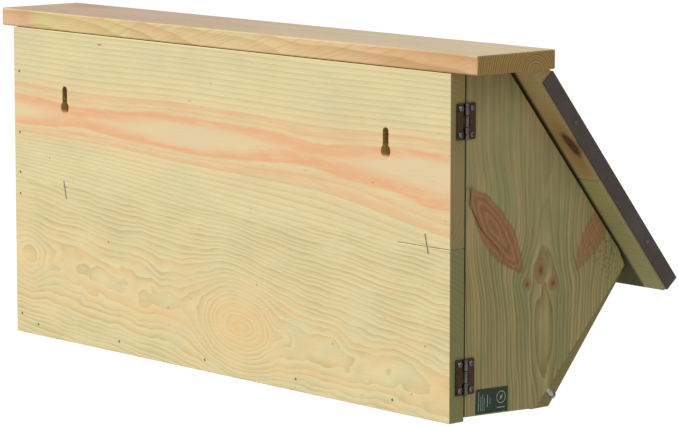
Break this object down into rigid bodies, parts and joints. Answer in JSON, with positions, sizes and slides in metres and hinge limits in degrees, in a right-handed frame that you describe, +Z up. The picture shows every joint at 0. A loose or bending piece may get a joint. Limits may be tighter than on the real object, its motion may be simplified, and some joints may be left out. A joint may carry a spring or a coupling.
{
  "type": "birdhouse",
  "caption": "Long wall-hung wooden nest box with a steep sheet-covered roof, an oblong entrance in the slanted front and a hinged end door.",
  "frame": {"origin": "wall face of the upper back board, midway between the two keyholes at the height where the hanging screws sit", "axes": "+Y points to the wall, -Y to the front, +X along the box away from the door, +Z up"},
  "size_m": [0.634, 0.241, 0.3051],
  "materials": {
    "pine": "sawn and planed pressure-treated pine, matte",
    "pine_green": "pressure-treated pine, greener where the treatment lies thicker, matte",
    "roofing": "dark brown roofing sheet with a fine dull grain",
    "bronzed_steel": "dark brown, satin",
    "bright_steel": "bright zinc-plated steel",
    "green_film": "plain dark green label film"
  },
  "bodies": {
    "box": {"back_board_lower": "pine", "back_board_upper": "pine", "back_staple_door": "bright_steel", "back_staple_far": "bright_steel", "cap_board": "pine", "cap_brad_1": "bright_steel", "cap_brad_2": "bright_steel", "cap_brad_3": "bright_steel", "cap_brad_4": "bright_steel", "floor_board": "pine", "floor_brad_1": "bright_steel", "floor_brad_2": "bright_steel", "floor_brad_3": "bright_steel", "floor_brad_4": "bright_steel", "floor_brad_5": "bright_steel", "front_board": "pine", "front_brad_1": "bright_steel", "front_brad_2": "bright_steel", "front_brad_3": "bright_steel", "front_brad_4": "bright_steel", "front_brad_5": "bright_steel", "hinge_lower_frame_leaf": "bronzed_steel", "hinge_lower_frame_screw_bottom": "bright_steel", "hinge_lower_frame_screw_top": "bright_steel", "hinge_lower_pin": "bronzed_steel", "hinge_upper_frame_leaf": "bronzed_steel", "hinge_upper_frame_screw_bottom": "bright_steel", "hinge_upper_frame_screw_top": "bright_steel", "hinge_upper_pin": "bronzed_steel", "roof_board_lower": "pine_green", "roof_board_upper": "pine_green", "roof_brad_1": "bright_steel", "roof_brad_2": "bright_steel", "roof_brad_3": "bright_steel", "roof_brad_4": "bright_steel", "roof_nail_door_lower": "bright_steel", "roof_nail_door_upper": "bright_steel", "roof_nail_side_lower": "bright_steel", "roof_nail_side_upper": "bright_steel", "roof_sheet": "roofing", "side_brad_1": "bright_steel", "side_brad_2": "bright_steel", "side_brad_3": "bright_steel", "side_brad_4": "bright_steel", "side_brad_5": "bright_steel", "side_panel": "pine"},
    "door": {"door_label": "green_film", "door_panel": "pine_green", "door_pull_screw": "bright_steel", "hinge_lower_door_leaf": "bronzed_steel", "hinge_lower_door_screw_bottom": "bright_steel", "hinge_lower_door_screw_top": "bright_steel", "hinge_upper_door_leaf": "bronzed_steel", "hinge_upper_door_screw_bottom": "bright_steel", "hinge_upper_door_screw_top": "bright_steel"}
  },
  "joints": [
    {"name": "door_hinge", "type": "hinge", "parent": "box", "child": "door", "pos_m": [-0.2949, -0.01615, -0.0904], "axis": [0, 0, -1], "range_deg": [0, 92]}
  ]
}
